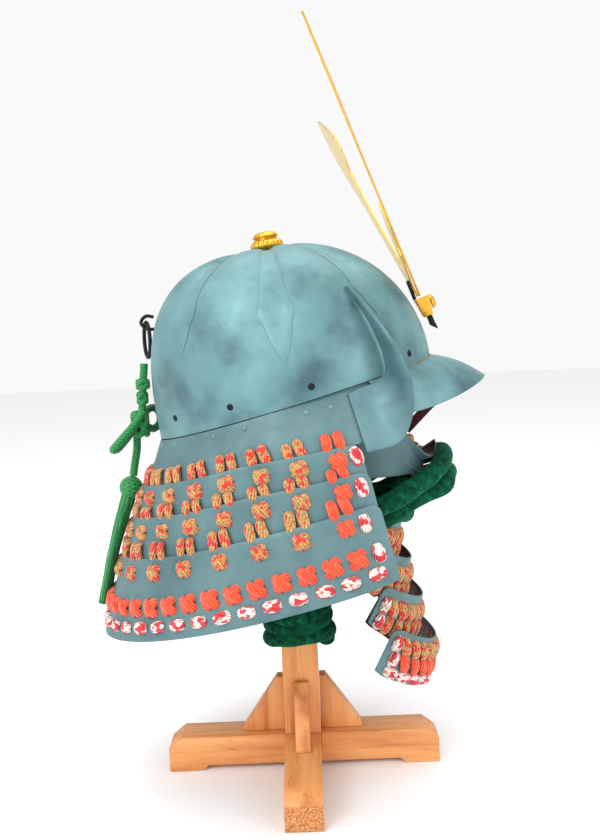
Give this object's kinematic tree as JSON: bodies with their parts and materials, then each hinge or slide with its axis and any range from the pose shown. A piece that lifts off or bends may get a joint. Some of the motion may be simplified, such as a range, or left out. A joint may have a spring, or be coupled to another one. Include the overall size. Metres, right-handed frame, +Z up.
{
  "type": "samurai helmet on a display stand",
  "caption": "Lobed samurai helmet with laced neck guard, half mask, throat guard, horned crest, cords and tassel, on a wooden cross-foot stand.",
  "frame": {"origin": "on the floor under the middle of the whole assembly", "axes": "+Z up, the helmet's face towards -Y, the wearer's left towards +X"},
  "size_m": [0.3798, 0.3909, 0.6748],
  "materials": {
    "patina_plate": "satin",
    "slate_plate": "satin",
    "gilt": "satin",
    "black_iron": "satin",
    "wood": "oiled",
    "green_velvet": "napped",
    "green_silk": "braided",
    "maroon_cloth": "woven"
  },
  "bodies": {
    "root": {"bowl_strip_1": "patina_plate", "bowl_strip_2": "patina_plate", "bowl_strip_3": "patina_plate", "bowl_strip_4": "patina_plate", "bowl_strip_5": "patina_plate", "bowl_strip_6": "patina_plate", "bowl_strip_7": "patina_plate", "bowl_strip_8": "patina_plate", "bowl": "patina_plate", "visor": "patina_plate", "wing_left": "patina_plate", "wing_right": "patina_plate", "neck_band": "slate_plate", "neck_lame_1": "slate_plate", "neck_lame_2": "slate_plate", "neck_lame_3": "slate_plate", "mask": "slate_plate", "throat_lame_1": "slate_plate", "throat_lame_2": "slate_plate", "throat_lame_3": "slate_plate", "throat_lame_4": "slate_plate", "crown_finial": "gilt", "mask_teeth": "gilt", "horn_left": "gilt", "horn_right": "gilt", "crest_blade": "gilt", "crest_holder": "gilt", "crest_boss": "gilt", "crest_prong": "black_iron", "crest_hook": "black_iron", "ring_staple": "black_iron", "tassel_ring": "black_iron", "base_bar_lengthways": "wood", "base_bar_crossways": "wood", "post": "wood", "gusset_left": "wood", "gusset_back": "wood", "gusset_right": "wood", "gusset_front": "wood", "mask_arm": "wood", "mask_upright": "wood", "mask_rest": "wood", "top_block": "wood", "chin_cord": "green_velvet", "post_knot": "green_velvet", "tassel_cord": "green_silk", "tassel": "green_silk", "lining_strap": "maroon_cloth"}
  },
  "joints": []
}
